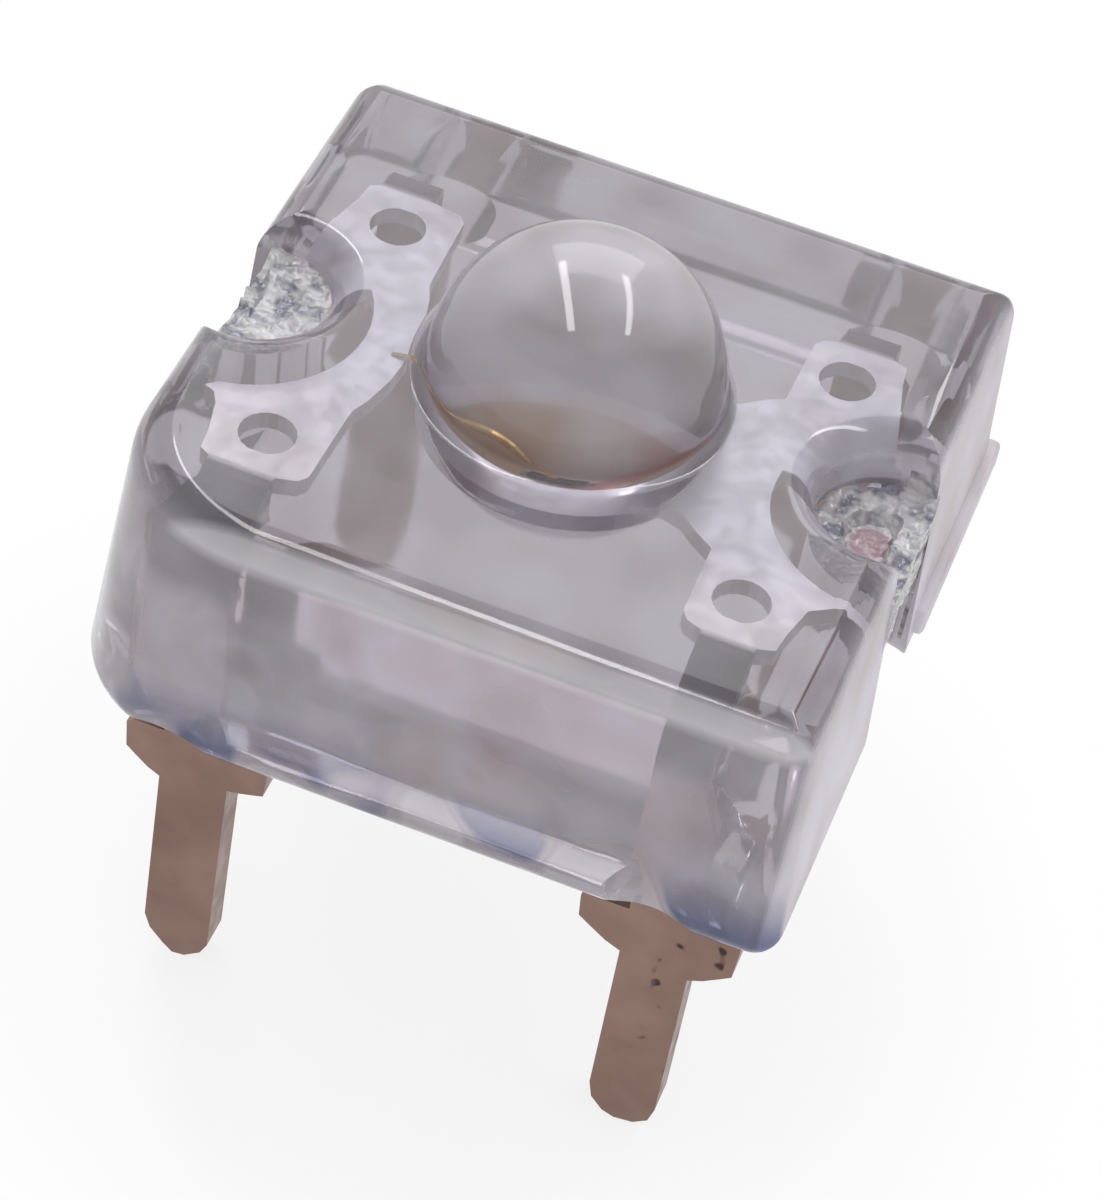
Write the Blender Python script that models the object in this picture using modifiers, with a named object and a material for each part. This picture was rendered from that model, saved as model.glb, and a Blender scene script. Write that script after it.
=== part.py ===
"""A clear square four-leg LED: domed epoxy moulding over two stamped leadframes.

Metres, +Z up. The origin is the centre of the lead grid, level with the lead tips.
X runs from the bond side to the cup side, and the viewer stands at -Y.
"""

import math
import random

import bmesh
import bpy
from mathutils import Vector

MM = 0.001
GRID = 1e-8

# Moulding: a square base that widens downwards, as it left its open casting cup
TOP_Z = 7.21 * MM
BOTTOM_Z = 4.25 * MM
TOP_HALF = 3.66 * MM
BOTTOM_HALF = 3.825 * MM
TOP_ROUND = 0.40 * MM
BOTTOM_ROUND = 0.29 * MM
CORNER_RADII = {
    "back_right": 0.12 * MM,
    "back_left": 0.30 * MM,
    "front_left": 1.66 * MM,
    "front_right": 0.31 * MM,
}
POLARITY_LOSS = 0.29 * MM
CORNER_STEPS = 10
EDGE_STEPS = 6
RIM_WIDTH = 0.22 * MM
UNDERSIDE_RISE = 0.20 * MM
UNDERSIDE_BLEND = 0.55 * MM

# Arched reliefs in the lower edge, over each leg
ARCH_R = 0.68 * MM
ARCH_RISE = 0.30 * MM
ARCH_INNER_Y = 2.05 * MM

# Dome lens
DOME_R = 1.51 * MM
DOME_CENTRE_RISE = 0.10 * MM
DOME_FLARE = 0.25 * MM
DOME_TURNS = 56
DOME_STEPS = 16

# Half-round locating grooves, left and right
GROOVE_R = 0.2186 * TOP_HALF
GROOVE_INSET = 0.24 * MM
GROOVE_X = TOP_HALF - GROOVE_INSET
GROOVE_LIP = 0.475 * GROOVE_R
GROOVE_TURNS = 40

# Rough resin remnants that bridge the grooves: top, thickness, torn edge past the wall,
# middle inside the groove's axis, pit in the middle
WEBS = {
    "right": (6.58 * MM, 0.75 * MM, 0.05 * MM, 0.17 * MM, 0.14 * MM),
    "left": (6.86 * MM, 0.50 * MM, -0.17 * MM, 0.17 * MM, 0.05 * MM),
}
WEB_ROUGH = 0.10 * MM
WEB_SHARES = (0.14, 0.34, 0.46, 0.60, 0.76, 1.0)

# Resin flash along the back half of the right wall, near the open side
FLASH_TOP_Z = 4.92 * MM
FLASH_THICK = 0.34 * MM
FLASH_REACH = 0.12 * MM
FLASH_ENDS = (0.90 * MM, 3.87 * MM)
FLASH_ROUND = 0.07 * MM

# Lead grid and sheet
PITCH = 5.08 * MM
LEAD_X = PITCH / 2
LEAD_Y = PITCH / 2
SHEET = 0.40 * MM
LEG_WIDTH = 0.74 * MM
PLATE_TOP_Z = TOP_Z - 0.78 * MM
PLATE_MID_Z = PLATE_TOP_Z - SHEET / 2
BEND_INNER = 0.06 * MM
BEND_OUTER = BEND_INNER + SHEET
BEND_STEPS = 8
LEG_FRONT_Y = LEAD_Y + SHEET / 2

# Stamped plates
PLATE_OUTER_X = TOP_HALF - 0.32 * MM
TAB_INNER_X = 1.93 * MM
TAB_OUTER_X = {"left": 3.05 * MM, "right": 2.93 * MM}
TAB_END_Y = 2.23 * MM
SCALLOP_X = GROOVE_X + 0.09 * MM
SCALLOP_R = 1.65 * GROOVE_R
ARM_Y = SCALLOP_R + 0.15 * MM
HOLE_R = 0.295 * MM
HOLE_X = {"left": 2.52 * MM, "right": 2.40 * MM}
HOLE_Y = 1.75 * MM
POST_EDGE_X = 1.70 * MM
PAD_R = 1.52 * MM

# Each leg is trimmed on its +X side from the plate to below the bend
NECK_TRIM = {
    "left": {"back": 0.19 * MM, "front": 0.05 * MM},
    "right": {"back": 0.18 * MM, "front": 0.19 * MM},
}
NECK_Z = 5.60 * MM
NECK_BLEND = 0.50 * MM

# Reflector cup, drawn down from the pad
CUP_MOUTH_R = 0.86 * MM
CUP_FLOOR_R = 0.50 * MM
CUP_DEPTH = 0.62 * MM
CUP_WALL = 0.26 * MM
CUP_TURNS = 48

# Chip, its adhesive bed and the bond wire
CHIP_SIDE = 0.34 * MM
CHIP_TALL = 0.16 * MM
BED_SIDE = 0.46 * MM
BED_TALL = 0.04 * MM
WIRE_R = 0.024 * MM
WIRE_RISE = 0.42 * MM
WIRE_POINTS = 22
BALL_SHARE = 2.2

# Gap left between the moulding and what it holds, and between seated pieces
FIT = 0.012 * MM

# Sheared remnants of the dam bar: end, top, lower edge at the end, lower edge at the leg
STUBS = {
    "left": {
        "outer": (0.76, 3.32, 2.915, 2.63),
        "inner": (0.76, 3.30, 2.88, 2.77),
    },
    "right": {
        "outer": (0.80, 3.22, 2.75, 2.475),
        "inner": (0.86, 3.20, 2.855, 2.55),
    },
}


def fresh_collection(name):
    found = bpy.data.collections.new(name)
    bpy.context.scene.collection.children.link(found)
    return found


for stale in list(bpy.data.objects):
    bpy.data.objects.remove(stale, do_unlink=True)

PARTS = fresh_collection("square_led")
CUTTERS = fresh_collection("cutters")


def material(name, colour, roughness, metallic=0.0, transmission=0.0, ior=1.5):
    made = bpy.data.materials.new(name)
    made.use_nodes = True
    shader = made.node_tree.nodes["Principled BSDF"]
    shader.inputs["Base Color"].default_value = (*colour, 1.0)
    shader.inputs["Roughness"].default_value = roughness
    shader.inputs["Metallic"].default_value = metallic
    shader.inputs["Transmission Weight"].default_value = transmission
    shader.inputs["IOR"].default_value = ior
    return made


def snapped(value):
    """Rounds to a grid of 0.00001 mm, so that planes meant to be one plane are exactly one."""
    return round(value / GRID) * GRID


def face_outwards(shape):
    for vert in shape.verts:
        vert.co = [snapped(value) for value in vert.co]
    bmesh.ops.recalc_face_normals(shape, faces=shape.faces)
    if shape.calc_volume(signed=True) < 0:
        bmesh.ops.reverse_faces(shape, faces=shape.faces)


def from_bmesh(name, shape, collection):
    face_outwards(shape)
    mesh = bpy.data.meshes.new(name)
    shape.to_mesh(mesh)
    shape.free()
    made = bpy.data.objects.new(name, mesh)
    collection.objects.link(made)
    return made


def helper(shape):
    """Marks a shape as one that only cuts or joins."""
    shape.hide_render = True
    shape.display_type = "WIRE"
    return shape


def combine(target, other, operation):
    step = target.modifiers.new(f"{operation.lower()}_{other.name}", "BOOLEAN")
    step.operation = operation
    step.solver = "EXACT"
    step.object = other
    return step


def evaluated_mesh(source, name):
    bpy.context.view_layer.update()
    graph = bpy.context.evaluated_depsgraph_get()
    return bpy.data.meshes.new_from_object(source.evaluated_get(graph), depsgraph=graph)


def turned(name, profile, turns, centre=(0.0, 0.0)):
    """A solid of revolution about a vertical axis. The profile runs from the axis, top to bottom."""
    mesh = bpy.data.meshes.new(name)
    edges = [(i, i + 1) for i in range(len(profile) - 1)]
    mesh.from_pydata([(snapped(r), 0.0, snapped(z)) for r, z in profile], edges, [])
    made = bpy.data.objects.new(name, mesh)
    made.location = (centre[0], centre[1], 0.0)
    CUTTERS.objects.link(made)
    spin = made.modifiers.new("turn", "SCREW")
    spin.steps = turns
    spin.render_steps = turns
    spin.use_merge_vertices = True
    spin.merge_threshold = 1e-7
    return helper(made)


def grown(points, gap, closed=True):
    """An outline moved outwards by the gap with mitred corners. An open one ends on the Z axis."""
    count = len(points)
    area = sum(a[0] * b[1] - b[0] * a[1] for a, b in zip(points, points[1:] + points[:1]))
    way = 1 if area > 0 else -1
    normals = []
    for a, b in zip(points, points[1:] + points[:1]):
        length = math.hypot(b[0] - a[0], b[1] - a[1])
        normals.append((way * (b[1] - a[1]) / length, way * (a[0] - b[0]) / length))
    found = []
    for i, (u, v) in enumerate(points):
        before, after = normals[i - 1], normals[i]
        if not closed and i in (0, count - 1):
            flat = after if i == 0 else before
            found.append((0.0, v + gap * flat[1]))
            continue
        share = gap / (1 + before[0] * after[0] + before[1] * after[1])
        found.append((u + share * (before[0] + after[0]), v + share * (before[1] + after[1])))
    return found


def extruded(name, outline, thickness, holes=()):
    """A flat outline with holes, extruded evenly about its plane and made a mesh with welded caps.

    The fill merges points closer than 0.03 of a unit, so the outline is drawn in millimetres
    and the mesh is then brought to size.
    """
    curve = bpy.data.curves.new(name, "CURVE")
    curve.dimensions = "2D"
    curve.fill_mode = "BOTH"
    curve.extrude = thickness / MM / 2
    for loop in (outline, *holes):
        spline = curve.splines.new("POLY")
        spline.points.add(len(loop) - 1)
        for point, (u, v) in zip(spline.points, loop):
            point.co = (u / MM, v / MM, 0.0, 1.0)
        spline.use_cyclic_u = True
    drawn = bpy.data.objects.new(name + "_outline", curve)
    CUTTERS.objects.link(drawn)
    mesh = evaluated_mesh(drawn, name)
    bpy.data.objects.remove(drawn, do_unlink=True)
    shape = bmesh.new()
    shape.from_mesh(mesh)
    bmesh.ops.remove_doubles(shape, verts=shape.verts, dist=1e-4)
    bmesh.ops.scale(shape, vec=(MM, MM, MM), verts=shape.verts)
    return helper(from_bmesh(name, shape, CUTTERS))


def arc(centre, radius, start, end, steps):
    """Points along a circular arc, angles in degrees."""
    found = []
    for i in range(steps + 1):
        turn = math.radians(start + (end - start) * i / steps)
        found.append((centre[0] + radius * math.cos(turn), centre[1] + radius * math.sin(turn)))
    return found


# Base of the moulding


def corner_radius(which, z, inset):
    """The polarity corner tightens towards the bottom, and every corner shrinks with its inset."""
    radius = CORNER_RADII[which]
    if which == "front_left":
        radius -= POLARITY_LOSS * (TOP_Z - z) / (TOP_Z - BOTTOM_Z)
    return max(radius - inset, 0.05 * MM)


def section(half, z, inset):
    ring = []
    corners = (("back_right", 1, 1, 0), ("back_left", -1, 1, 90), ("front_left", -1, -1, 180),
               ("front_right", 1, -1, 270))
    for which, sx, sy, start in corners:
        radius = corner_radius(which, z, inset)
        reach = half - inset - radius
        for x, y in arc((sx * reach, sy * reach), radius, start, start + 90, CORNER_STEPS):
            ring.append((x, y, z))
    return ring


def wall_half(z):
    return BOTTOM_HALF + (TOP_HALF - BOTTOM_HALF) * (z - BOTTOM_Z) / (TOP_Z - BOTTOM_Z)


def base_rings():
    """Sections from the top face, round the edge, down the wall and into the dished underside."""
    rings = []
    for i in range(EDGE_STEPS + 1):
        turn = math.radians(90 * i / EDGE_STEPS)
        z = TOP_Z - TOP_ROUND * (1 - math.cos(turn))
        rings.append(section(wall_half(z), z, TOP_ROUND * (1 - math.sin(turn))))
    for i in range(1, EDGE_STEPS + 1):
        turn = math.radians(90 * i / EDGE_STEPS)
        z = BOTTOM_Z + BOTTOM_ROUND * (1 - math.sin(turn))
        rings.append(section(wall_half(z), z, BOTTOM_ROUND * (1 - math.cos(turn))))
    for i in range(EDGE_STEPS + 1):
        share = i / EDGE_STEPS
        rise = UNDERSIDE_RISE * (1 - math.cos(math.pi * share)) / 2
        inset = BOTTOM_ROUND + RIM_WIDTH + UNDERSIDE_BLEND * share
        rings.append(section(BOTTOM_HALF, BOTTOM_Z + rise, inset))
    return rings


def lofted(name, rings, collection):
    shape = bmesh.new()
    loops = [[shape.verts.new(point) for point in ring] for ring in rings]
    count = len(rings[0])
    for upper, lower in zip(loops, loops[1:]):
        for i in range(count):
            j = (i + 1) % count
            shape.faces.new((upper[i], upper[j], lower[j], lower[i]))
    shape.faces.new(loops[0])
    shape.faces.new(list(reversed(loops[-1])))
    return from_bmesh(name, shape, collection)


def dome_profile():
    centre = TOP_Z + DOME_CENTRE_RISE
    last = math.acos((DOME_FLARE - DOME_CENTRE_RISE) / DOME_R)
    points = []
    for i in range(DOME_STEPS + 1):
        turn = last * i / DOME_STEPS
        points.append((DOME_R * math.sin(turn), centre + DOME_R * math.cos(turn)))
    foot = (points[-1][0] + DOME_FLARE, TOP_Z + DOME_FLARE)
    points += arc(foot, DOME_FLARE, 180, 270, 5)[1:]
    points += [(foot[0], TOP_Z - 0.3 * MM), (0.0, TOP_Z - 0.3 * MM)]
    return points


def groove_profile():
    """A through groove whose two mouths flare like the moulding's own edges."""
    points = [(0.0, TOP_Z + 0.4 * MM), (GROOVE_R + GROOVE_LIP, TOP_Z + 0.4 * MM)]
    points += arc((GROOVE_R + GROOVE_LIP, TOP_Z - GROOVE_LIP), GROOVE_LIP, 90, 180, 6)
    points += arc((GROOVE_R + GROOVE_LIP, BOTTOM_Z + GROOVE_LIP), GROOVE_LIP, 180, 270, 6)
    points += [(GROOVE_R + GROOVE_LIP, BOTTOM_Z - 0.4 * MM), (0.0, BOTTOM_Z - 0.4 * MM)]
    return points


def rough_web(name, side, web, seed):
    """A ragged web of resin across a groove, torn off along its outer edge."""
    top, thick, past_wall, shift, pit = web
    dice = random.Random(seed)
    turns = 30
    middle = GROOVE_X - shift
    limit = wall_half(top) + past_wall - middle
    reaches = []
    for i in range(turns):
        turn = 2 * math.pi * i / turns
        bite = math.sqrt((GROOVE_R + 0.10 * MM) ** 2 - (shift * math.sin(turn)) ** 2)
        edge = limit + dice.uniform(-0.6, 0.5) * WEB_ROUGH
        reaches.append(min(bite + shift * math.cos(turn), edge / max(math.cos(turn), 1e-3)))
    rings = []
    for share, following in zip(WEB_SHARES, (*WEB_SHARES[1:], 1.0)):
        ring = []
        for i, reach in enumerate(reaches):
            turn = 2 * math.pi * i / turns
            radius = reach * (share + dice.uniform(-0.3, 0.3) * (following - share))
            lift = -pit if share <= WEB_SHARES[1] else dice.uniform(-0.7, 0.7) * WEB_ROUGH
            ring.append((side * (middle + radius * math.cos(turn)), radius * math.sin(turn), top + lift))
        rings.append(ring)
    for level in (0.35, 0.68, 1.0):
        ring = []
        for i, reach in enumerate(reaches):
            turn = 2 * math.pi * i / turns
            radius = reach - dice.uniform(0.0, 0.6) * WEB_ROUGH
            z = top - thick * level + dice.uniform(-0.3, 0.3) * WEB_ROUGH
            ring.append((side * (middle + radius * math.cos(turn)), radius * math.sin(turn), z))
        rings.append(ring)
    return helper(lofted(name, rings, CUTTERS))


def box(name, low, high, rounding):
    shape = bmesh.new()
    bmesh.ops.create_cube(shape, size=1.0)
    size = Vector(high) - Vector(low)
    middle = (Vector(high) + Vector(low)) / 2
    for vert in shape.verts:
        vert.co = Vector((vert.co.x * size.x, vert.co.y * size.y, vert.co.z * size.z)) + middle
    bmesh.ops.bevel(shape, geom=shape.edges, offset=rounding, segments=2, profile=0.5,
                    affect="EDGES")
    return helper(from_bmesh(name, shape, CUTTERS))


def lead_arch(name, side, depth_side):
    """A cylinder lying along Y that lifts the lower edge over one leg."""
    shape = bmesh.new()
    outer_y = BOTTOM_HALF + 0.4 * MM
    bmesh.ops.create_cone(shape, cap_ends=True, segments=36, radius1=ARCH_R, radius2=ARCH_R,
                          depth=outer_y - ARCH_INNER_Y)
    for vert in shape.verts:
        x, up, along = vert.co
        vert.co = (x + side * LEAD_X, depth_side * (along + (outer_y + ARCH_INNER_Y) / 2),
                   up + BOTTOM_Z + ARCH_RISE - ARCH_R)
    return helper(from_bmesh(name, shape, CUTTERS))


# Leadframes


def circle(x, y, radius, steps=20):
    return arc((x, y), radius, 0, 360 * (1 - 1 / steps), steps - 1)


def tab_half_outline(side_name, depth_name, inner_start):
    """Half of a plate, drawn at +X and +Y, from the inner edge round the tab to the arm's tip."""
    trim = NECK_TRIM[side_name][depth_name]
    leg_in = LEAD_X - LEG_WIDTH / 2 + (trim if side_name == "left" else 0.0)
    leg_out = LEAD_X + LEG_WIDTH / 2 - (trim if side_name == "right" else 0.0)
    tab_outer = TAB_OUTER_X[side_name]
    flat_y = LEG_FRONT_Y - BEND_OUTER + 0.02 * MM
    return [
        *inner_start,
        (TAB_INNER_X - 0.02 * MM, 1.20 * MM),
        (TAB_INNER_X, TAB_END_Y - 0.10 * MM),
        (TAB_INNER_X + 0.07 * MM, TAB_END_Y),
        (leg_in, flat_y),
        (leg_out, flat_y),
        (tab_outer - 0.03 * MM, TAB_END_Y),
        (tab_outer, TAB_END_Y - 0.25 * MM),
        (tab_outer + 0.09 * MM, 1.58 * MM),
        (PLATE_OUTER_X - 0.12 * MM, ARM_Y - 0.03 * MM),
        (PLATE_OUTER_X, ARM_Y - 0.08 * MM),
    ]


def scallop(y_top):
    """Concave arc of the plate round the groove, from the upper arm to the lower."""
    turn = math.degrees(math.asin(y_top / SCALLOP_R))
    return arc((SCALLOP_X, 0.0), SCALLOP_R, 180 - turn, 180 + turn, 18)


def plate_outline(side, side_name, inner_edge):
    """The back half, the scallop and the front half of one plate."""
    upper = tab_half_outline(side_name, "back", inner_edge)
    lower = [(x, -y) for x, y in reversed(tab_half_outline(side_name, "front", inner_edge))]
    points = upper + scallop(0.977 * SCALLOP_R) + lower
    return [(side * x, y) for x, y in points]


def plate_holes(side, side_name, radius):
    return [circle(side * HOLE_X[side_name], sy * HOLE_Y, radius) for sy in (1, -1)]


def leg_side_profile():
    """The sheet seen edge on: flat tab, bend, and straight leg down to the tip."""
    outer = (LEG_FRONT_Y - BEND_OUTER, PLATE_TOP_Z - BEND_OUTER)
    start = LEG_FRONT_Y - BEND_OUTER - 0.25 * MM
    points = [(start, PLATE_TOP_Z)]
    points += arc(outer, BEND_OUTER, 90, 0, BEND_STEPS)
    points += [(LEG_FRONT_Y, 0.0), (LEG_FRONT_Y - SHEET, 0.0)]
    points += arc(outer, BEND_INNER, 0, 90, BEND_STEPS)
    points += [(start, PLATE_TOP_Z - SHEET)]
    return points


def stub_edge(stub, sign):
    """Lower corner, worn end and top corner of one sheared stub, from the leg outwards."""
    reach, top, low_end, low_leg = (value * MM for value in stub)
    half = LEG_WIDTH / 2
    return [
        (sign * half, low_leg),
        (sign * (half + 0.35 * (reach - half)), low_leg + 0.25 * (low_end - low_leg)),
        (sign * (half + 0.75 * (reach - half)), low_leg + 0.70 * (low_end - low_leg)),
        (sign * reach, low_end),
        (sign * (reach + 0.02 * MM), top - 0.06 * MM),
        (sign * (reach - 0.05 * MM), top),
        (sign * half, top),
    ]


def leg_front_profile(side_name, side, depth_name):
    """Front view of a leg: blunt rounded tip, shank, the two dam-bar stubs and the trimmed neck."""
    half = LEG_WIDTH / 2
    neck = half - NECK_TRIM[side_name][depth_name]
    tip = TIPS[side_name]
    stubs = STUBS[side_name]
    outer = stub_edge(stubs["outer"], side)
    inner = stub_edge(stubs["inner"], -side)
    right, left = (outer, inner) if side > 0 else (inner, outer)
    top = PLATE_TOP_Z + 0.1 * MM
    points = [(x * MM, z * MM) for x, z in tip]
    points += right + [(half, NECK_Z - NECK_BLEND), (neck, NECK_Z), (neck, top), (-half, top)]
    points += list(reversed(left))
    return points


# Tips as cropped: one rounded to a blunt point, the other squarer
TIPS = {
    "left": ((-0.37, 0.46), (-0.30, 0.27), (-0.14, 0.10), (-0.02, 0.0), (0.12, 0.02), (0.29, 0.15),
             (0.36, 0.30)),
    "right": ((-0.37, 0.42), (-0.32, 0.20), (-0.18, 0.05), (-0.04, 0.0), (0.17, 0.03), (0.32, 0.14),
              (0.37, 0.34)),
}


def stand(piece, side, depth_side, order):
    """Turns a flat extrusion upright by naming its axes, and puts it on its lead's place."""
    shape = bmesh.new()
    shape.from_mesh(piece.data)
    for vert in shape.verts:
        local = dict(zip(order, vert.co))
        middle = LEAD_Y if order == "xzy" else 0.0
        vert.co = (local["x"] + side * LEAD_X, depth_side * (local["y"] + middle), local["z"])
    face_outwards(shape)
    shape.to_mesh(piece.data)
    shape.free()
    return piece


def strap(name, side, depth_side, width, gap=0.0):
    """The bent sheet of one leg, as wide as asked."""
    profile = leg_side_profile()
    piece = extruded(name, grown(profile, gap) if gap else profile, width + 2 * gap)
    return stand(piece, side, depth_side, "yzx")


def leg(side_name, side, depth_side, gap=0.0):
    """One bent leg: the edge-on profile crossed with the front view."""
    depth_name = "back" if depth_side > 0 else "front"
    name = f"{side_name}_{depth_name}_leg" + ("_room" if gap else "")
    bent = strap(name, side, depth_side, 2.4 * LEG_WIDTH, gap)
    profile = leg_front_profile(side_name, side, depth_name)
    mask = extruded(name + "_mask", grown(profile, gap) if gap else profile, 8 * SHEET)
    combine(bent, stand(mask, side, depth_side, "xzy"), "INTERSECT")
    return bent


def plate(name, side_name, side, inner_edge, gap=0.0):
    outline = plate_outline(side, side_name, inner_edge)
    piece = extruded(name, grown(outline, gap) if gap else outline, SHEET + 2 * gap,
                     plate_holes(side, side_name, HOLE_R - gap))
    for vert in piece.data.vertices:
        vert.co.z = snapped(vert.co.z + PLATE_MID_Z)
    return piece


def build_leadframe(name, side_name, side, inner_edge, extras=()):
    blank = plate(name + "_plate", side_name, side, inner_edge)
    frame = bpy.data.objects.new(name, blank.data.copy())
    PARTS.objects.link(frame)
    bpy.data.objects.remove(blank, do_unlink=True)
    for other in extras:
        combine(frame, other, "UNION")
    for depth_side in (-1, 1):
        combine(frame, leg(side_name, side, depth_side), "UNION")
    return frame


def cup_profile():
    """The drawn cup with its pad: down the bowl's inside is last to first, from floor to underside."""
    low = FLOOR_Z - CUP_WALL
    under = PLATE_TOP_Z - SHEET
    return [(0.0, FLOOR_Z), (CUP_FLOOR_R, FLOOR_Z), (CUP_FLOOR_R + 0.05 * MM, FLOOR_Z + 0.05 * MM),
            (CUP_MOUTH_R, PLATE_TOP_Z - 0.05 * MM), (CUP_MOUTH_R + 0.05 * MM, PLATE_TOP_Z),
            (PAD_R, PLATE_TOP_Z), (PAD_R, under), (CUP_MOUTH_R + CUP_WALL + 0.10 * MM, under),
            (CUP_MOUTH_R + CUP_WALL, under - 0.08 * MM),
            (CUP_FLOOR_R + CUP_WALL + 0.06 * MM, low + 0.08 * MM),
            (CUP_FLOOR_R + CUP_WALL - 0.04 * MM, low), (0.0, low)]


def post_upper():
    return [(POST_EDGE_X, 0.02 * MM), (POST_EDGE_X + 0.03 * MM, 0.45 * MM),
            (POST_EDGE_X + 0.12 * MM, 0.85 * MM), (POST_EDGE_X + 0.20 * MM, 1.05 * MM)]


def pad_upper():
    """The pad's side of the cup plate starts inside the pad, whose own rim makes the edge."""
    return [(1.00 * MM, 0.02 * MM), (1.00 * MM, 0.86 * MM), (1.31 * MM, 0.84 * MM),
            (1.52 * MM, 0.90 * MM), (1.69 * MM, 1.05 * MM)]


FLOOR_Z = PLATE_TOP_Z - CUP_DEPTH
cup = turned("reflector_cup", cup_profile(), CUP_TURNS)
cup_leadframe = build_leadframe("cup_leadframe", "right", 1, pad_upper(), (cup,))
post_leadframe = build_leadframe("post_leadframe", "left", -1, post_upper())


# Chip, adhesive bed and bond wire


def block(name, side, low, tall, chamfer, collection=PARTS):
    shape = bmesh.new()
    bmesh.ops.create_cube(shape, size=1.0)
    for vert in shape.verts:
        vert.co = Vector((vert.co.x * side, vert.co.y * side, low + (vert.co.z + 0.5) * tall))
    uprights = [e for e in shape.edges if abs(e.verts[0].co.z - e.verts[1].co.z) > tall / 2]
    bmesh.ops.bevel(shape, geom=uprights, offset=chamfer, segments=3, profile=0.5, affect="EDGES")
    return from_bmesh(name, shape, collection)


die_attach = block("die_attach", BED_SIDE, FLOOR_Z, BED_TALL, 0.09 * MM)
led_chip = block("led_chip", CHIP_SIDE, FLOOR_Z + BED_TALL, CHIP_TALL, 0.012 * MM)


def wire_route():
    """A loop that leaves the chip's top steeply, turns at once and slopes down to the post."""
    chip_top = Vector((-0.02 * MM, 0.0, FLOOR_Z + BED_TALL + CHIP_TALL + 0.2 * WIRE_R))
    post_top = Vector((-(POST_EDGE_X + 0.16 * MM), -0.10 * MM, PLATE_TOP_Z + WIRE_R))
    second = chip_top + Vector((-0.03 * MM, 0.0, 2.2 * WIRE_RISE))
    third = Vector((-0.50 * MM, 0.0, PLATE_TOP_Z + 0.85 * WIRE_RISE))
    points = []
    for i in range(WIRE_POINTS):
        t = i / (WIRE_POINTS - 1)
        s = 1 - t
        points.append(chip_top * s**3 + second * 3 * s * s * t + third * 3 * s * t * t + post_top * t**3)
    return points


def make_wire(name, collection, gap=0.0):
    curve = bpy.data.curves.new(name, "CURVE")
    curve.dimensions = "3D"
    curve.bevel_depth = WIRE_R + gap
    curve.bevel_resolution = 2
    curve.use_fill_caps = True
    spline = curve.splines.new("POLY")
    route = wire_route()
    spline.points.add(len(route) - 1)
    for point, place in zip(spline.points, route):
        point.co = (*place, 1.0)
    spline.points[0].radius = BALL_SHARE
    drawn = bpy.data.objects.new("wire_path", curve)
    CUTTERS.objects.link(drawn)
    mesh = evaluated_mesh(drawn, name)
    bpy.data.objects.remove(drawn, do_unlink=True)
    shape = bmesh.new()
    shape.from_mesh(mesh)
    bmesh.ops.remove_doubles(shape, verts=shape.verts, dist=1e-7)
    chip_top = FLOOR_Z + BED_TALL + CHIP_TALL
    # The bonded ends are squashed flat on the chip and on the plate
    for vert in shape.verts:
        if vert.co.x > -0.30 * MM:
            vert.co.z = max(vert.co.z, chip_top - gap / 2)
        if vert.co.x < -POST_EDGE_X:
            vert.co.z = max(vert.co.z, PLATE_TOP_Z - gap / 2)
    return from_bmesh(name, shape, collection)


bond_wire = make_wire("bond_wire", PARTS)

# The moulding itself, with room for everything it holds

epoxy = lofted("epoxy_body", base_rings(), PARTS)
dome = turned("dome", dome_profile(), DOME_TURNS)
combine(epoxy, dome, "UNION")
for side, word in ((-1, "left"), (1, "right")):
    combine(epoxy, turned(f"{word}_groove", groove_profile(), GROOVE_TURNS, (side * GROOVE_X, 0.0)),
            "DIFFERENCE")
for side, word, seed in ((1, "right", 7), (-1, "left", 12)):
    combine(epoxy, rough_web(f"{word}_web", side, WEBS[word], seed), "UNION")
flash_x = wall_half(FLASH_TOP_Z)
flash = box("flash", (flash_x - 0.4 * MM, FLASH_ENDS[0], FLASH_TOP_Z - FLASH_THICK),
            (flash_x + FLASH_REACH, FLASH_ENDS[1], FLASH_TOP_Z), FLASH_ROUND)
combine(epoxy, flash, "UNION")
for side in (-1, 1):
    for depth_side in (-1, 1):
        combine(epoxy, lead_arch(f"arch_{side}_{depth_side}", side, depth_side), "DIFFERENCE")


def rooms():
    """The forms of all that the moulding holds, each grown by the fit gap."""
    yield plate("cup_plate_room", "right", 1, pad_upper(), FIT)
    yield plate("post_plate_room", "left", -1, post_upper(), FIT)
    yield turned("cup_room", grown(cup_profile(), FIT, closed=False), CUP_TURNS)
    for side_name, side in (("left", -1), ("right", 1)):
        for depth_side in (-1, 1):
            yield leg(side_name, side, depth_side, FIT)
    yield helper(block("bed_room", BED_SIDE + 2 * FIT, FLOOR_Z, BED_TALL + FIT, 0.09 * MM, CUTTERS))
    chip_low = FLOOR_Z + BED_TALL
    yield helper(block("chip_room", CHIP_SIDE + 2 * FIT, chip_low, CHIP_TALL + FIT, 0.012 * MM, CUTTERS))
    yield helper(make_wire("wire_room", CUTTERS, FIT))


for room in rooms():
    combine(epoxy, room, "DIFFERENCE")

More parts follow.
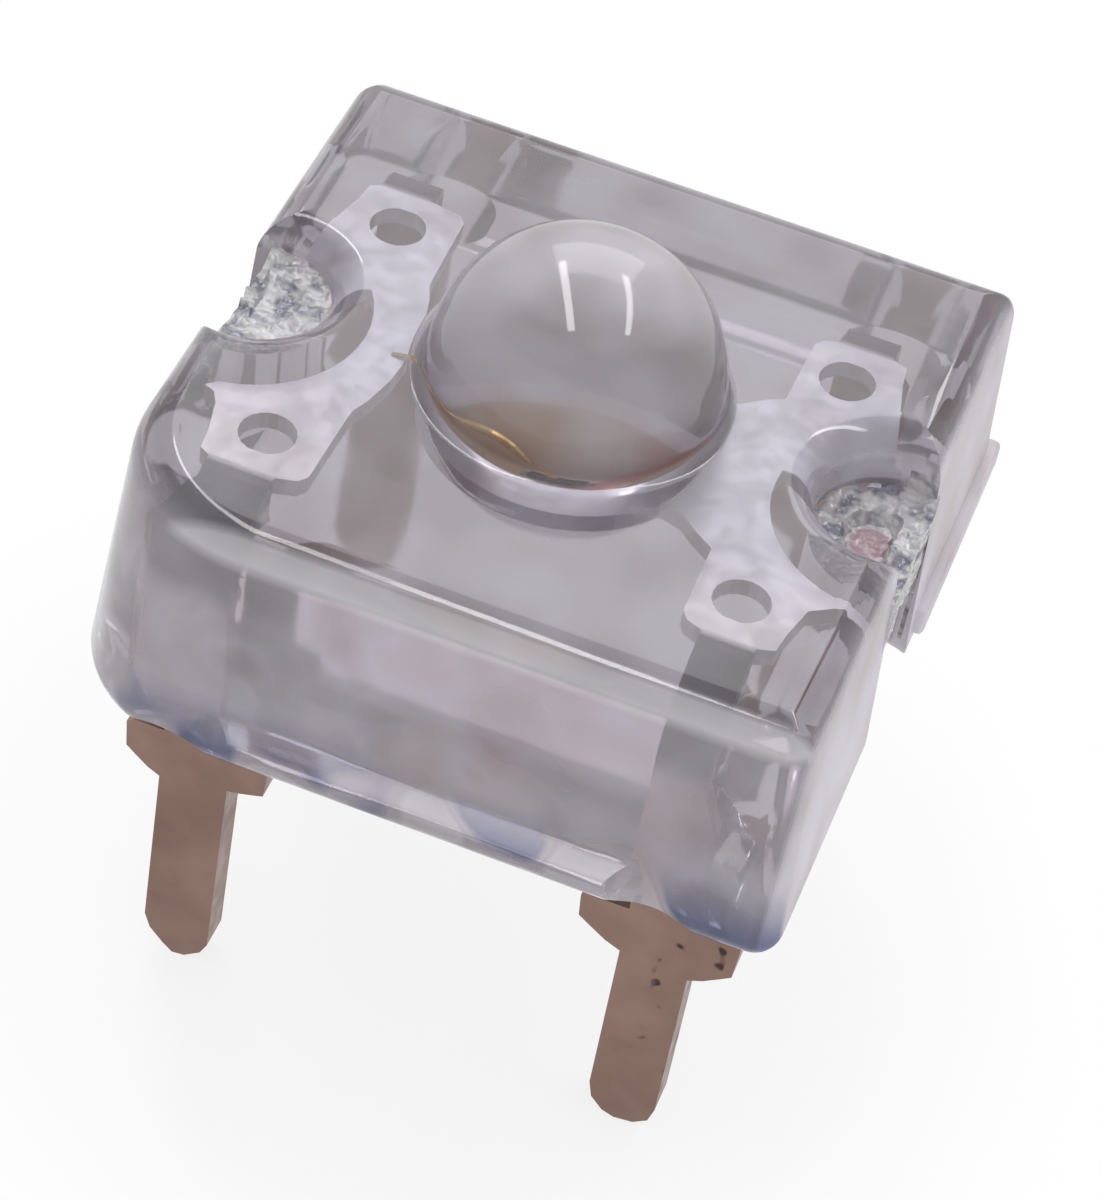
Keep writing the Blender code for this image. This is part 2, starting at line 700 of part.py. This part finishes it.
looks = {
    epoxy: material("clear_epoxy", (0.72, 0.71, 0.73), 0.05, transmission=0.9, ior=1.54),
    cup_leadframe: material("cup_frame_plating", (0.62, 0.60, 0.58), 0.35, metallic=1.0),
    post_leadframe: material("post_frame_plating", (0.62, 0.60, 0.58), 0.35, metallic=1.0),
    led_chip: material("chip", (0.75, 0.62, 0.30), 0.30, metallic=0.3),
    die_attach: material("silver_adhesive", (0.55, 0.54, 0.52), 0.60, metallic=0.5),
    bond_wire: material("gold", (0.95, 0.70, 0.25), 0.20, metallic=1.0),
}
for piece, look in looks.items():
    piece.data.materials.clear()
    piece.data.materials.append(look)
    piece.data.shade_smooth()
    piece.data.set_sharp_from_angle(angle=math.radians(32))
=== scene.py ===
"""Looks of the clear square LED: cast epoxy, plated leadframes, chip and gold wire.

Every piece is in metres in the CAD frame: z = 0 at the lead tips, -Y towards the viewer.
"""
import math
import random

import bmesh
import bpy
from mathutils import Matrix, Quaternion, Vector

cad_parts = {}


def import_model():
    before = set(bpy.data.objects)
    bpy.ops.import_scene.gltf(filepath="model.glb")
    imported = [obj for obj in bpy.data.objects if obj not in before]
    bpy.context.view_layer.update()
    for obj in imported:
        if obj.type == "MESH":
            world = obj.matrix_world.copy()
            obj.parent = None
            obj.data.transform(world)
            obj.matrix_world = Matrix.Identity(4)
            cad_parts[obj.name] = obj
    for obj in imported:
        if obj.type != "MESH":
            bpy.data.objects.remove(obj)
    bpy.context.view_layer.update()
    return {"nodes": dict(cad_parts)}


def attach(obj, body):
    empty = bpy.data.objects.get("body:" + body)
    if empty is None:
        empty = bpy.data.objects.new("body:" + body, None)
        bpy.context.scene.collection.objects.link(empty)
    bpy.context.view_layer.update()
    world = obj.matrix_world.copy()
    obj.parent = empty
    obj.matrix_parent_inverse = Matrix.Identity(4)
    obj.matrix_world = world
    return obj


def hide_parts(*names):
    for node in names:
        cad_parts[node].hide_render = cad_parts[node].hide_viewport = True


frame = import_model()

MM = 0.001
GRID = 1e-8

# Sizes of the moulding, as in the part's source, but for a smaller lens foot and smoother webs
TOP_Z = 7.21 * MM
BOTTOM_Z = 4.25 * MM
TOP_HALF = 3.66 * MM
BOTTOM_HALF = 3.825 * MM
TOP_ROUND = 0.40 * MM
BOTTOM_ROUND = 0.29 * MM
CORNER_RADII = (0.12 * MM, 0.30 * MM, 1.66 * MM, 0.31 * MM)
POLARITY_LOSS = 0.29 * MM
CORNER_STEPS = 20
EDGE_STEPS = 10
RIM_WIDTH = 0.22 * MM
UNDERSIDE_RISE = 0.20 * MM
UNDERSIDE_BLEND = 0.55 * MM
ARCH_R = 0.68 * MM
ARCH_RISE = 0.30 * MM
ARCH_INNER_Y = 2.05 * MM
DOME_R = 1.51 * MM
DOME_CENTRE_RISE = 0.10 * MM
DOME_FLARE = 0.16 * MM
GROOVE_R = 0.2186 * TOP_HALF
GROOVE_X = TOP_HALF - 0.24 * MM
GROOVE_LIP = 0.475 * GROOVE_R
WEBS = {
    1: (6.58 * MM, 0.75 * MM, 0.05 * MM, 0.17 * MM, 0.14 * MM),
    -1: (6.86 * MM, 0.50 * MM, -0.17 * MM, 0.17 * MM, 0.05 * MM),
}
WEB_ROUGH = 0.05 * MM
WEB_SHARES = (0.14, 0.34, 0.46, 0.60, 0.76, 1.0)
FLASH_TOP_Z = 4.92 * MM
FLASH_THICK = 0.34 * MM
FLASH_REACH = 0.12 * MM
FLASH_ENDS = (0.90 * MM, 3.87 * MM)
FLASH_ROUND = 0.07 * MM
LEAD = 2.54 * MM
PLATE_TOP_Z = TOP_Z - 0.78 * MM
CUP_REACH = 0.90 * MM


def snapped(value):
    return round(value / GRID) * GRID


def arc(centre, radius, start, end, steps):
    found = []
    for i in range(steps + 1):
        turn = math.radians(start + (end - start) * i / steps)
        found.append((centre[0] + radius * math.cos(turn), centre[1] + radius * math.sin(turn)))
    return found


def as_object(name, shape):
    for vert in shape.verts:
        vert.co = [snapped(value) for value in vert.co]
    bmesh.ops.recalc_face_normals(shape, faces=shape.faces)
    if shape.calc_volume(signed=True) < 0:
        bmesh.ops.reverse_faces(shape, faces=shape.faces)
    mesh = bpy.data.meshes.new(name)
    shape.to_mesh(mesh)
    shape.free()
    made = bpy.data.objects.new(name, mesh)
    bpy.context.scene.collection.objects.link(made)
    return made


def lofted(name, rings):
    shape = bmesh.new()
    loops = [[shape.verts.new(point) for point in ring] for ring in rings]
    count = len(rings[0])
    for upper, lower in zip(loops, loops[1:]):
        for i in range(count):
            j = (i + 1) % count
            shape.faces.new((upper[i], upper[j], lower[j], lower[i]))
    shape.faces.new(loops[0])
    shape.faces.new(list(reversed(loops[-1])))
    return as_object(name, shape)


def turned(name, profile, turns, centre=(0.0, 0.0)):
    """A solid of revolution whose profile starts and ends on the axis."""
    rings = []
    for r, z in profile[1:-1]:
        rings.append([(centre[0] + r * math.cos(2 * math.pi * i / turns),
                       centre[1] + r * math.sin(2 * math.pi * i / turns), z) for i in range(turns)])
    shape = bmesh.new()
    loops = [[shape.verts.new(point) for point in ring] for ring in rings]
    for upper, lower in zip(loops, loops[1:]):
        for i in range(turns):
            j = (i + 1) % turns
            shape.faces.new((upper[i], upper[j], lower[j], lower[i]))
    for loop, (r, z) in ((loops[0], profile[0]), (loops[-1], profile[-1])):
        pole = shape.verts.new((centre[0], centre[1], z))
        for i in range(turns):
            shape.faces.new((loop[i], loop[(i + 1) % turns], pole))
    return as_object(name, shape)


def combine(target, other, operation):
    step = target.modifiers.new(operation.lower(), "BOOLEAN")
    step.operation = operation
    step.solver = "EXACT"
    step.object = other
    bpy.context.view_layer.update()
    graph = bpy.context.evaluated_depsgraph_get()
    mesh = bpy.data.meshes.new_from_object(target.evaluated_get(graph), depsgraph=graph)
    target.modifiers.clear()
    target.data = mesh
    bpy.data.objects.remove(other, do_unlink=True)


def wall_half(z):
    return BOTTOM_HALF + (TOP_HALF - BOTTOM_HALF) * (z - BOTTOM_Z) / (TOP_Z - BOTTOM_Z)


def section(half, z, inset):
    ring = []
    for which, (sx, sy) in enumerate(((1, 1), (-1, 1), (-1, -1), (1, -1))):
        radius = CORNER_RADII[which]
        if which == 2:
            radius -= POLARITY_LOSS * (TOP_Z - z) / (TOP_Z - BOTTOM_Z)
        radius = max(radius - inset, 0.05 * MM)
        reach = half - inset - radius
        start = 90 * which
        for x, y in arc((sx * reach, sy * reach), radius, start, start + 90, CORNER_STEPS):
            ring.append((x, y, z))
    return ring


def base_rings():
    rings = []
    for i in range(EDGE_STEPS + 1):
        turn = math.radians(90 * i / EDGE_STEPS)
        z = TOP_Z - TOP_ROUND * (1 - math.cos(turn))
        rings.append(section(wall_half(z), z, TOP_ROUND * (1 - math.sin(turn))))
    for i in range(1, EDGE_STEPS + 1):
        turn = math.radians(90 * i / EDGE_STEPS)
        z = BOTTOM_Z + BOTTOM_ROUND * (1 - math.sin(turn))
        rings.append(section(wall_half(z), z, BOTTOM_ROUND * (1 - math.cos(turn))))
    for i in range(EDGE_STEPS + 1):
        share = i / EDGE_STEPS
        rise = UNDERSIDE_RISE * (1 - math.cos(math.pi * share)) / 2
        rings.append(section(BOTTOM_HALF, BOTTOM_Z + rise,
                             BOTTOM_ROUND + RIM_WIDTH + UNDERSIDE_BLEND * share))
    return rings


def dome_profile(steps=40):
    centre = TOP_Z + DOME_CENTRE_RISE
    last = math.acos((DOME_FLARE - DOME_CENTRE_RISE) / DOME_R)
    points = []
    for i in range(steps + 1):
        turn = last * i / steps
        points.append((DOME_R * math.sin(turn), centre + DOME_R * math.cos(turn)))
    foot = (points[-1][0] + DOME_FLARE, TOP_Z + DOME_FLARE)
    points += arc(foot, DOME_FLARE, 180, 270, 8)[1:]
    points += [(foot[0], TOP_Z - 0.3 * MM), (0.0, TOP_Z - 0.3 * MM)]
    return points


def groove_profile():
    wide = GROOVE_R + GROOVE_LIP
    points = [(0.0, TOP_Z + 0.4 * MM), (wide, TOP_Z + 0.4 * MM)]
    points += arc((wide, TOP_Z - GROOVE_LIP), GROOVE_LIP, 90, 180, 12)
    points += arc((wide, BOTTOM_Z + GROOVE_LIP), GROOVE_LIP, 180, 270, 12)
    points += [(wide, BOTTOM_Z - 0.4 * MM), (0.0, BOTTOM_Z - 0.4 * MM)]
    return points


def rough_web(side, seed, turns=36):
    """A ragged web of resin across a groove, torn off along its outer edge."""
    top, thick, past_wall, shift, pit = WEBS[side]
    dice = random.Random(seed)
    middle = GROOVE_X - shift
    limit = wall_half(top) + past_wall - middle
    reaches = []
    for i in range(turns):
        turn = 2 * math.pi * i / turns
        bite = math.sqrt((GROOVE_R + 0.10 * MM) ** 2 - (shift * math.sin(turn)) ** 2)
        edge = limit + dice.uniform(-0.6, 0.5) * WEB_ROUGH
        reaches.append(min(bite + shift * math.cos(turn), edge / max(math.cos(turn), 1e-3)))
    rings = []
    for share, following in zip(WEB_SHARES, (*WEB_SHARES[1:], 1.0)):
        ring = []
        for i, reach in enumerate(reaches):
            turn = 2 * math.pi * i / turns
            radius = reach * (share + dice.uniform(-0.3, 0.3) * (following - share))
            lift = -pit if share <= WEB_SHARES[1] else dice.uniform(-0.7, 0.7) * WEB_ROUGH
            ring.append((side * (middle + radius * math.cos(turn)), radius * math.sin(turn), top + lift))
        rings.append(ring)
    for level in (0.25, 0.5, 0.75, 1.0):
        ring = []
        for i, reach in enumerate(reaches):
            turn = 2 * math.pi * i / turns
            radius = reach - dice.uniform(0.0, 0.6) * WEB_ROUGH
            z = top - thick * level + dice.uniform(-0.3, 0.3) * WEB_ROUGH
            ring.append((side * (middle + radius * math.cos(turn)), radius * math.sin(turn), z))
        rings.append(ring)
    return lofted("web", rings)


def flash_piece():
    half = wall_half(FLASH_TOP_Z)
    low = Vector((half - 0.4 * MM, FLASH_ENDS[0], FLASH_TOP_Z - FLASH_THICK))
    high = Vector((half + FLASH_REACH, FLASH_ENDS[1], FLASH_TOP_Z))
    shape = bmesh.new()
    bmesh.ops.create_cube(shape, size=1.0)
    size = high - low
    for vert in shape.verts:
        vert.co = Vector((vert.co.x * size.x, vert.co.y * size.y, vert.co.z * size.z))
        vert.co += (high + low) / 2
    bmesh.ops.bevel(shape, geom=shape.edges, offset=FLASH_ROUND, segments=3, profile=0.5,
                    affect="EDGES")
    return as_object("flash", shape)


def lead_arch(side, depth_side):
    shape = bmesh.new()
    outer_y = BOTTOM_HALF + 0.4 * MM
    bmesh.ops.create_cone(shape, cap_ends=True, segments=72, radius1=ARCH_R, radius2=ARCH_R,
                          depth=outer_y - ARCH_INNER_Y)
    for vert in shape.verts:
        x, up, along = vert.co
        vert.co = (x + side * LEAD, depth_side * (along + (outer_y + ARCH_INNER_Y) / 2),
                   up + BOTTOM_Z + ARCH_RISE - ARCH_R)
    return as_object("arch", shape)


def cast_body():
    """The moulding as one clear solid, with the metal set straight into it."""
    body = lofted("cast_epoxy", base_rings())
    combine(body, turned("dome", dome_profile(), 128), "UNION")
    for side, seed in ((1, 7), (-1, 12)):
        combine(body, turned("groove", groove_profile(), 96, (side * GROOVE_X, 0.0)), "DIFFERENCE")
        combine(body, rough_web(side, seed), "UNION")
    combine(body, flash_piece(), "UNION")
    for side in (-1, 1):
        for depth_side in (-1, 1):
            combine(body, lead_arch(side, depth_side), "DIFFERENCE")
    body.data.shade_smooth()
    body.data.set_sharp_from_angle(angle=math.radians(28))
    even = body.modifiers.new("even", "WEIGHTED_NORMAL")
    even.mode = "FACE_AREA"
    even.keep_sharp = True
    even.weight = 80
    return body


# Materials

RESIN_IOR = 1.54
RESIN_TAKES = (110.0, 124.0, 116.0)  # light lost per metre of resin, in red, green and blue


class Nodes:
    """A short way to write a node tree."""

    def __init__(self, name):
        self.material = bpy.data.materials.new(name)
        self.material.use_nodes = True
        self.tree = self.material.node_tree
        self.shader = self.tree.nodes["Principled BSDF"]
        self.out = self.tree.nodes["Material Output"]

    def add(self, kind, **inputs):
        node = self.tree.nodes.new(kind)
        for key, value in inputs.items():
            self.put(node, key.replace("_", " "), value)
        return node

    def put(self, node, key, value):
        socket = node.inputs[key]
        if isinstance(value, bpy.types.NodeSocket):
            self.tree.links.new(value, socket)
        else:
            socket.default_value = value

    def set(self, **inputs):
        for key, value in inputs.items():
            self.put(self.shader, key.replace("_", " "), value)

    def place(self):
        return self.add("ShaderNodeTexCoord").outputs["Object"]

    def axes(self, vector):
        outputs = self.add("ShaderNodeSeparateXYZ", Vector=vector).outputs
        return outputs["X"], outputs["Y"], outputs["Z"]

    def flat_distance(self, across, depth):
        """How far a point is from the upright axis, seen from above."""
        return self.length(self.add("ShaderNodeCombineXYZ", X=across, Y=depth).outputs[0])

    def length(self, vector):
        node = self.add("ShaderNodeVectorMath")
        node.operation = "LENGTH"
        self.put(node, 0, vector)
        return node.outputs["Value"]

    def noise(self, scale, detail=3.0, roughness=0.55, vector=None):
        node = self.add("ShaderNodeTexNoise", Scale=scale, Detail=detail, Roughness=roughness)
        self.put(node, "Vector", vector or self.place())
        return node.outputs["Fac"]

    def spread(self, value, low, high, to_low, to_high):
        node = self.add("ShaderNodeMapRange")
        node.clamp = True
        for key, number in (("Value", value), ("From Min", low), ("From Max", high),
                            ("To Min", to_low), ("To Max", to_high)):
            self.put(node, key, number)
        return node.outputs["Result"]

    def rise(self, value, low, high):
        """0 below low and 1 above high, both in millimetres."""
        return self.spread(value, low * MM, high * MM, 0.0, 1.0)

    def fall(self, value, low, high):
        """1 below low and 0 above high, both in millimetres."""
        return self.spread(value, low * MM, high * MM, 1.0, 0.0)

    def maths(self, operation, a, b=0.0):
        node = self.add("ShaderNodeMath")
        node.operation = operation
        self.put(node, 0, a)
        self.put(node, 1, b)
        return node.outputs[0]

    def times(self, a, b):
        return self.maths("MULTIPLY", a, b)

    def mix(self, share, a, b):
        node = self.add("ShaderNodeMix")
        node.data_type = "RGBA"
        self.put(node, 0, share)
        for index, value in ((6, a), (7, b)):
            self.put(node, index, value if isinstance(value, bpy.types.NodeSocket) else (*value, 1.0))
        return node.outputs[2]

    def bump(self, height, distance, strength=1.0):
        node = self.add("ShaderNodeBump", Height=height, Distance=distance, Strength=strength)
        return node.outputs["Normal"]


def in_web(centre):
    """Whether a face of the moulding belongs to a torn web."""
    top, thick = WEBS[1 if centre.x > 0 else -1][:2]
    inside = math.hypot(abs(centre.x) - GROOVE_X, centre.y) < GROOVE_R - 0.02 * MM
    past = abs(centre.x) > wall_half(centre.z) - 0.3 * MM and abs(centre.y) < GROOVE_R
    return (inside or past) and top - thick - 0.1 * MM < centre.z < top + 0.15 * MM


def resin(n, colour, clear, rough, normal):
    """Finishes a resin look: the surface as given, and light lost along the way inside."""
    n.shader.distribution = "GGX"
    n.set(Base_Color=colour, Roughness=rough, IOR=RESIN_IOR, Transmission_Weight=clear, Normal=normal)
    dense = 2.2 * max(RESIN_TAKES)  # the loss is density times what the colour lacks of white
    kept = [1 - taken / dense for taken in RESIN_TAKES]
    inside = n.add("ShaderNodeVolumeAbsorption", Color=(*kept, 1.0), Density=dense)
    n.tree.links.new(inside.outputs["Volume"], n.out.inputs["Volume"])
    return n.material


def cast_material():
    """Clear resin with a grey haze, milkier on the walls and dull where it was sheared off, with a
    painted highlight on the front top edge and painted reflections on the front foot.
    """
    n = Nodes("cast_epoxy_look")
    place = n.place()
    across, depth, height = n.axes(place)
    smear = n.noise(950.0, 1.0, 0.5, place)
    cloud = n.spread(smear, 0.36, 0.62, 0.0, 1.0)

    # Where on the moulding: walls, lens, top edge of the front (painted highlight), foot of the front
    # (painted reflections), right wall
    wall = n.fall(height, 6.95, 7.15)
    lens = n.rise(height, 7.30, 7.60)
    edge_highlight = n.times(n.fall(depth, -3.52, -3.42), n.rise(height, 6.82, 6.96))
    foot = n.times(n.fall(depth, -3.60, -3.50), n.fall(height, 4.55, 5.20))
    sheared = n.times(wall, n.rise(across, 3.60, 3.67))

    colour = n.mix(cloud, (0.38, 0.35, 0.385), (0.49, 0.48, 0.54))
    milky = n.mix(cloud, (0.62, 0.57, 0.61), (0.74, 0.72, 0.79))
    milky = n.mix(n.spread(smear, 0.60, 0.72, 0.0, 0.45), milky, (0.34, 0.26, 0.26))
    colour = n.mix(wall, colour, milky)
    colour = n.mix(lens, colour, n.mix(cloud, (0.62, 0.57, 0.56), (0.76, 0.74, 0.77)))
    # Painted highlight: a near-white, less clear band along the front top edge
    colour = n.mix(edge_highlight, colour, (0.94, 0.92, 0.95))
    colour = n.mix(sheared, colour, n.mix(cloud, (0.80, 0.74, 0.76), (0.94, 0.90, 0.98)))
    # Painted reflections on the foot of the front: dark blue flecks, then white flecks as painted glints
    colour = n.mix(n.times(foot, n.spread(smear, 0.48, 0.54, 0.0, 0.9)), colour, (0.10, 0.13, 0.32))
    colour = n.mix(n.times(foot, n.spread(smear, 0.40, 0.44, 0.7, 0.0)), colour, (0.98, 0.98, 1.0))

    clear = n.spread(cloud, 0.0, 1.0, 0.90, 0.84)
    for mask, loss in ((wall, 0.20), (lens, 0.08), (edge_highlight, 0.20), (sheared, 0.26)):
        clear = n.maths("SUBTRACT", clear, n.times(mask, loss))
    rough = n.maths("ADD", n.spread(smear, 0.35, 0.70, 0.04, 0.10), n.times(sheared, 0.4))
    deep = n.times(smear, n.spread(foot, 0.0, 1.0, 1.0, 8.0))
    return resin(n, colour, clear, rough, n.bump(deep, 0.000014, 0.35))


def torn_material():
    """Resin torn across the grooves: rough flakes with painted white glints, round a flat brown disc on
    the right.
    """
    n = Nodes("torn_epoxy_look")
    place = n.place()
    across, depth, _ = n.axes(place)
    chips_and_glints = n.noise(3600.0, 2.0, 0.6, place)
    outward = n.maths("SUBTRACT", across, GROOVE_X - WEBS[1][3])
    disc = n.fall(n.flat_distance(outward, depth), 0.20, 0.25)
    # Painted glints: white and dark blue-grey flecks across the torn resin
    colour = n.mix(n.spread(chips_and_glints, 0.38, 0.52, 0.0, 1.0), (0.34, 0.36, 0.44), (1.0, 1.0, 1.0))
    colour = n.mix(disc, colour, (0.52, 0.36, 0.40))
    clear = n.spread(disc, 0.0, 1.0, 0.62, 0.40)
    return resin(n, colour, clear, n.spread(chips_and_glints, 0.3, 0.7, 0.02, 0.12), n.bump(chips_and_glints, 0.00016, 1.0))


def plating_material(name, shift):
    """Tin plating: bright and soft on the plates, with painted shade on the bends and edges, painted
    highlights and reflections, brown on the bare legs.
    """
    n = Nodes(name)
    place = n.place()
    across, depth, height = n.axes(place)
    moved = n.add("ShaderNodeVectorMath")
    moved.operation = "ADD"
    n.put(moved, 0, place)
    n.put(moved, 1, (shift, shift, 0.0))
    cloud = n.noise(900.0, 2.0, 0.6, moved.outputs[0])
    fine = n.noise(4600.0, 1.0, 0.6, moved.outputs[0])
    patchy = n.spread(cloud, 0.3, 0.7, 0.0, 1.0)

    # Plates, with a painted warm highlight in front, and painted shade on their upright edges
    silver = n.mix(patchy, (0.86, 0.87, 0.94), (0.96, 0.96, 0.98))
    silver = n.mix(n.fall(depth, -1.9, -1.2), silver, (1.0, 0.97, 0.94))
    flat = n.maths("ABSOLUTE", n.axes(n.add("ShaderNodeNewGeometry").outputs["True Normal"])[2])
    # Painted shade: faces that are not flat turn darker than the plate tops
    silver = n.mix(n.spread(flat, 0.1, 0.4, 1.0, 0.0), silver, (0.58, 0.54, 0.58))

    # Legs inside the resin, darker than the plates as painted shade, browner at the back
    legs = n.mix(patchy, (0.58, 0.47, 0.46), (0.74, 0.64, 0.63))
    back_legs = n.mix(patchy, (0.27, 0.14, 0.10), (0.38, 0.21, 0.16))
    legs = n.mix(n.rise(depth, 1.2, 1.8), legs, back_legs)
    silver = n.mix(n.rise(height, 5.5, 6.1), legs, silver)

    # Bends, painted dark in front and at the back: painted shade for the dark room that they would
    # reflect
    bend_shade = n.times(n.fall(depth, -2.36, -2.26), n.rise(height, 5.65, 5.95))
    silver = n.mix(bend_shade, silver, n.mix(patchy, (0.03, 0.015, 0.03), (0.12, 0.09, 0.11)))
    back_bend_shade = n.times(n.rise(depth, 2.26, 2.36), n.rise(height, 6.05, 6.25))
    silver = n.mix(back_bend_shade, silver, (0.16, 0.10, 0.14))

    # Reflector cup, with painted reflections: tan on the left, pale in the middle, orange and then cream
    # glare on the right
    low = n.spread(height, PLATE_TOP_Z - 0.08 * MM, PLATE_TOP_Z - 0.03 * MM, 1.0, 0.0)
    from_axis = n.flat_distance(across, depth)
    bowl = n.times(low, n.spread(from_axis, CUP_REACH, CUP_REACH + 0.05 * MM, 1.0, 0.0))
    right = n.mix(n.rise(across, 0.34, 0.52), (0.95, 0.52, 0.44), (1.0, 0.90, 0.70))
    inner = n.mix(n.fall(across, -0.25, -0.08), (1.0, 0.94, 0.90), (0.92, 0.70, 0.46))
    silver = n.mix(bowl, silver, n.mix(n.rise(across, 0.06, 0.20), inner, right))

    # Bare legs below the resin, with dark specks on the right-hand edge
    brown = n.mix(patchy, (0.21, 0.132, 0.105), (0.29, 0.19, 0.155))
    brown = n.mix(n.spread(depth, 0.0, 1.0 * MM, 0.0, 0.7), brown, (0.29, 0.155, 0.11))
    speck = n.times(n.spread(fine, 0.66, 0.72, 0.0, 0.9), n.rise(across, 2.50, 2.62))
    brown = n.mix(speck, brown, (0.04, 0.02, 0.02))
    colour = n.mix(n.fall(height, 4.10, 4.50), silver, brown)
    n.set(Base_Color=colour, Metallic=n.spread(bowl, 0.0, 1.0, 0.9, 0.3),
          Roughness=n.spread(fine, 0.3, 0.7, 0.30, 0.46), Normal=n.bump(fine, 0.000008, 0.6))
    return n.material


def small_material(name, pale, deep, metallic, low, high, scale, bump):
    n = Nodes(name)
    cloud = n.noise(scale)
    n.set(Base_Color=n.mix(n.spread(cloud, 0.3, 0.7, 0.0, 1.0), pale, deep), Metallic=metallic,
          Roughness=n.spread(cloud, 0.3, 0.7, low, high), Normal=n.bump(cloud, bump, 0.6))
    return n.material


def dress(node, material):
    piece = frame["nodes"][node]
    piece.data.materials.clear()
    piece.data.materials.append(material)


body = cast_body()
body.data.materials.clear()
body.data.materials.append(cast_material())
body.data.materials.append(torn_material())
for face in body.data.polygons:
    face.material_index = 1 if in_web(face.center) else 0
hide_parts("epoxy_body")
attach(body, "root")

dress("cup_leadframe", plating_material("cup_frame_look", 0.003))
dress("post_leadframe", plating_material("post_frame_look", 0.011))
dress("led_chip", small_material("chip_look", (0.16, 0.07, 0.06), (0.07, 0.03, 0.04), 0.2, 0.15, 0.35,
                                 6000.0, 0.000002))
dress("die_attach", small_material("adhesive_look", (0.62, 0.60, 0.57), (0.44, 0.43, 0.41), 0.7, 0.45,
                                   0.7, 9000.0, 0.000006))
dress("bond_wire", small_material("gold_look", (0.98, 0.74, 0.30), (0.86, 0.58, 0.20), 1.0, 0.14, 0.28,
                                  9000.0, 0.000002))


# Stage, light and camera

SHADOW_SHARE = 0.20  # how much of the floor near the part is lit paper, the rest being plain white
SHADOW_REACH = (5.0 * MM, 8.0 * MM)


def seen_rays(tree):
    """1 for a ray from the camera, a mirror or a clear face, and 0 for one that gathers light."""
    path = tree.nodes.new("ShaderNodeLightPath")
    last = path.outputs["Is Camera Ray"]
    for kind in ("Is Glossy Ray", "Is Transmission Ray"):
        step = tree.nodes.new("ShaderNodeMath")
        step.operation = "MAXIMUM"
        tree.links.new(last, step.inputs[0])
        tree.links.new(path.outputs[kind], step.inputs[1])
        last = step.outputs[0]
    return last


def floor_material():
    """White paper that keeps a light shadow, and shows as white as the world behind it."""
    n = Nodes("floor_look")
    n.set(Base_Color=(0.92, 0.92, 0.92, 1.0), Roughness=1.0, Specular_IOR_Level=0.0)
    white = n.add("ShaderNodeEmission", Color=(1.0, 1.0, 1.0, 1.0), Strength=1.0)
    near = n.spread(n.length(n.place()), *SHADOW_REACH, 1.0 - SHADOW_SHARE, 1.0)
    through = n.add("ShaderNodeLightPath").outputs["Is Transmission Ray"]
    share = n.times(seen_rays(n.tree), n.maths("MAXIMUM", near, through))
    mixed = n.add("ShaderNodeMixShader")
    n.put(mixed, 0, share)
    n.tree.links.new(n.shader.outputs[0], mixed.inputs[1])
    n.tree.links.new(white.outputs[0], mixed.inputs[2])
    n.tree.links.new(mixed.outputs[0], n.out.inputs["Surface"])
    n.material.cycles.emission_sampling = "NONE"  # its white is for rays that see it, and lights nothing
    return n.material


def floor():
    shape = bmesh.new()
    bmesh.ops.create_grid(shape, x_segments=8, y_segments=8, size=0.6)
    mesh = bpy.data.meshes.new("floor")
    shape.to_mesh(mesh)
    shape.free()
    made = bpy.data.objects.new("floor", mesh)
    made.location.z = -0.00002
    bpy.context.scene.collection.objects.link(made)
    made.data.materials.append(floor_material())


def lamp(name, place, aim, size, power, tall, turn=0.0):
    data = bpy.data.lights.new(name, "AREA")
    data.shape = "RECTANGLE"
    data.size = size
    data.size_y = tall
    data.energy = power
    made = bpy.data.objects.new(name, data)
    made.location = place
    facing = (Vector(aim) - Vector(place)).to_track_quat("-Z", "Y")
    made.rotation_euler = (Quaternion((0, 0, 1), math.radians(turn)) @ facing).to_euler()
    bpy.context.scene.collection.objects.link(made)


def world():
    made = bpy.data.worlds.new("studio")
    bpy.context.scene.world = made
    made.use_nodes = True
    made.cycles.sampling_method = "NONE"
    tree = made.node_tree
    tree.nodes.clear()
    light = tree.nodes.new("ShaderNodeBackground")
    light.inputs["Color"].default_value = (0.98, 0.985, 1.0, 1.0)
    light.inputs["Strength"].default_value = 0.68
    white = tree.nodes.new("ShaderNodeBackground")
    white.inputs["Color"].default_value = (1.0, 1.0, 1.0, 1.0)
    white.inputs["Strength"].default_value = 1.0
    mixed = tree.nodes.new("ShaderNodeMixShader")
    out = tree.nodes.new("ShaderNodeOutputWorld")
    tree.links.new(seen_rays(tree), mixed.inputs[0])
    tree.links.new(light.outputs[0], mixed.inputs[1])
    tree.links.new(white.outputs[0], mixed.inputs[2])
    tree.links.new(mixed.outputs[0], out.inputs["Surface"])


def camera():
    data = bpy.data.cameras.new("view")
    data.sensor_fit = "VERTICAL"
    data.angle = 2 * math.atan(600 / 4189.03)
    data.clip_start = 0.001
    data.clip_end = 5.0
    made = bpy.data.objects.new("view", data)
    ahead = Vector((-0.14932, 0.69767, -0.70068)).normalized()
    right = ahead.cross(Vector((-0.33117, 0.63241, 0.70027))).normalized()
    up = right.cross(ahead)
    turn = Matrix((right, up, -ahead)).transposed().to_4x4()
    made.matrix_world = Matrix.Translation(Vector((6.671, -30.292, 34.624)) * MM) @ turn
    bpy.context.scene.collection.objects.link(made)
    bpy.context.scene.camera = made


floor()
world()
# Two ceiling strips that draw the streaks on the dome, and a broad soft lamp behind for the plates
lamp("strip_left", (-0.070, 0.047, 0.200), (-0.070, 0.047, 0.0), 0.018, 0.110, tall=0.256, turn=25)
lamp("strip_right", (0.078, 0.084, 0.200), (0.078, 0.084, 0.0), 0.018, 0.086, tall=0.200, turn=25)
lamp("back", (-0.024, 0.112, 0.112), (0, 0, 0.006), 0.12, 0.062, tall=0.10)
camera()
bpy.context.scene.view_settings.view_transform = "Standard"
